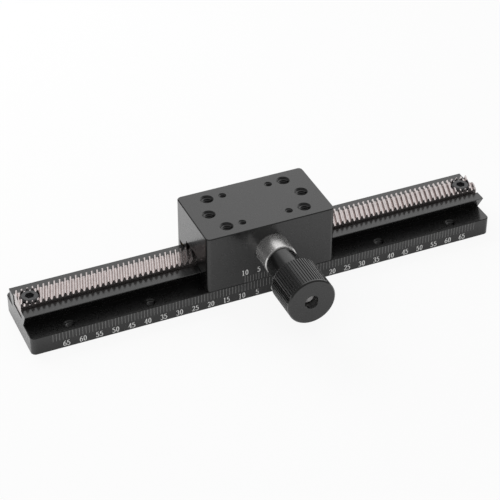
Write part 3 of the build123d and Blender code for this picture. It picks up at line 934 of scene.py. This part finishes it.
def pick_number(tree, mask, plain, chosen):
    """The chosen number where the mask is 1, and the plain one elsewhere."""
    pick = add_node(tree, "ShaderNodeMix", data_type="FLOAT")
    link(tree, mask, pick.inputs[MIX_FACTOR])
    feed(tree, plain, pick.inputs[MIX_NUMBER_A])
    feed(tree, chosen, pick.inputs[MIX_NUMBER_B])
    return pick.outputs[MIX_NUMBER_RESULT]


def studio_world(ambient):
    """White for the camera, a dim dome with a bright part for mirrors, and even light otherwise."""
    world = bpy.data.worlds.new("studio")
    world.use_nodes = True
    tree = world.node_tree
    background = tree.nodes["Background"]
    background.inputs["Color"].default_value = (1, 1, 1, 1)
    path = add_node(tree, "ShaderNodeLightPath")
    coords = add_node(tree, "ShaderNodeTexCoord")
    toward = add_node(tree, "ShaderNodeVectorMath", operation="DOT_PRODUCT")
    toward.inputs[1].default_value = SOFTBOX_DIRECTION
    dome = add_node(tree, "ShaderNodeMapRange", interpolation_type="SMOOTHSTEP")
    set_range(dome, "From", SOFTBOX_EDGE)
    set_range(dome, "To", SOFTBOX_STRENGTH)
    link(tree, coords.outputs["Generated"], toward.inputs[0])
    link(tree, toward.outputs["Value"], dome.inputs["Value"])
    level = pick_number(tree, mirrored_rays(tree, path), ambient, dome.outputs["Result"])
    level = pick_number(tree, path.outputs["Is Camera Ray"], level, 1.0)
    link(tree, level, background.inputs["Strength"])
    return world


def add_lamp(name, place, size, power):
    """Large square lamp that looks at the slide and that mirrors don't show."""
    lamp = bpy.data.lights.new(name, "AREA")
    lamp.energy = power
    lamp.size = size
    holder = bpy.data.objects.new(name, lamp)
    holder.visible_glossy = False
    holder.location = place
    holder.rotation_euler = (-Vector(place)).to_track_quat("-Z", "Y").to_euler()
    bpy.context.scene.collection.objects.link(holder)


def add_camera(studio):
    """Camera at the photograph's viewing angle."""
    turn, rise, roll = studio.azimuth, studio.elevation, studio.roll
    back = Vector((
        math.sin(turn) * math.cos(rise), -math.cos(turn) * math.cos(rise), math.sin(rise)))
    level_right = Vector((math.cos(turn), math.sin(turn), 0))
    level_up = back.cross(level_right)
    right = math.cos(roll) * level_right + math.sin(roll) * level_up
    up = -math.sin(roll) * level_right + math.cos(roll) * level_up
    data = bpy.data.cameras.new("camera")
    data.lens = data.sensor_width * studio.focal_px / IMAGE_WIDTH_PX
    data.clip_start = CLIP_START
    data.clip_end = CLIP_END
    camera = bpy.data.objects.new("camera", data)
    place = Matrix.Translation(Vector(studio.target) + back * studio.distance)
    camera.matrix_world = place @ Matrix((right, up, back)).transposed().to_4x4()
    bpy.context.scene.collection.objects.link(camera)
    bpy.context.scene.camera = camera


class SLIDE_OT_set_stage(bpy.types.Operator):
    """Floor, lamps, surroundings and camera"""

    bl_idname = "slide.set_stage"
    bl_label = "Set stage"

    def execute(self, context):
        studio = context.scene.slide_studio
        mesh = bpy.data.meshes.new("floor")
        sides = [(-1, -1), (1, -1), (1, 1), (-1, 1)]
        corners = [(x * FLOOR_HALF, y * FLOOR_HALF, 0) for x, y in sides]
        mesh.from_pydata(corners, [], [(0, 1, 2, 3)])
        mesh.materials.append(floor_material(studio.floor_color))
        floor = bpy.data.objects.new("floor", mesh)
        context.scene.collection.objects.link(floor)
        add_lamp("key_lamp", KEY_PLACE, KEY_SIZE, studio.key_power)
        add_lamp("fill_lamp", FILL_PLACE, FILL_SIZE, studio.fill_power)
        context.scene.world = studio_world(studio.ambient)
        context.scene.view_settings.view_transform = "Standard"
        add_camera(studio)
        return {"FINISHED"}


class SLIDE_PT_sidebar(bpy.types.Panel):
    """Sidebar panel with the slide's settings and steps"""

    bl_label = "Dovetail slide"
    bl_idname = "SLIDE_PT_sidebar"
    bl_space_type = "VIEW_3D"
    bl_region_type = "UI"
    bl_category = "Slide"

    def draw(self, context):
        for operator in OPERATORS:
            self.layout.operator(operator.bl_idname)
        for name in SETTINGS:
            settings = getattr(context.scene, name)
            box = self.layout.box()
            for label in settings.bl_rna.properties.keys():
                if label not in ("rna_type", "name"):
                    box.prop(settings, label)


OPERATORS = (
    SLIDE_OT_dress_rail,
    SLIDE_OT_engrave_rail_scale,
    SLIDE_OT_dress_rack,
    SLIDE_OT_dress_carriage,
    SLIDE_OT_engrave_vernier,
    SLIDE_OT_dress_gib,
    SLIDE_OT_dress_bush,
    SLIDE_OT_dress_drive,
    SLIDE_OT_set_stage,
)

SETTINGS = {
    "slide_finish": SlideFinish,
    "slide_scale": SlideScale,
    "slide_studio": SlideStudio,
}


def register():
    """Add the settings, the operators and the panel to Blender."""
    for settings in SETTINGS.values():
        bpy.utils.register_class(settings)
    for name, settings in SETTINGS.items():
        setattr(bpy.types.Scene, name, PointerProperty(type=settings))
    for operator in OPERATORS:
        bpy.utils.register_class(operator)
    bpy.utils.register_class(SLIDE_PT_sidebar)


def unregister():
    """Take them out again, in the opposite order."""
    bpy.utils.unregister_class(SLIDE_PT_sidebar)
    for operator in reversed(OPERATORS):
        bpy.utils.unregister_class(operator)
    for name, settings in reversed(SETTINGS.items()):
        delattr(bpy.types.Scene, name)
        bpy.utils.unregister_class(settings)


def write_sizes():
    """Bring the view layer up to date."""
    bpy.context.view_layer.update()


def main():
    """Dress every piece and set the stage."""
    register()
    bpy.ops.slide.dress_rail()
    bpy.ops.slide.engrave_rail_scale()
    bpy.ops.slide.dress_rack()
    bpy.ops.slide.dress_carriage()
    bpy.ops.slide.engrave_vernier()
    bpy.ops.slide.dress_gib()
    bpy.ops.slide.dress_bush()
    bpy.ops.slide.dress_drive()
    bpy.ops.slide.set_stage()
    write_sizes()


if __name__ == "__main__":
    main()
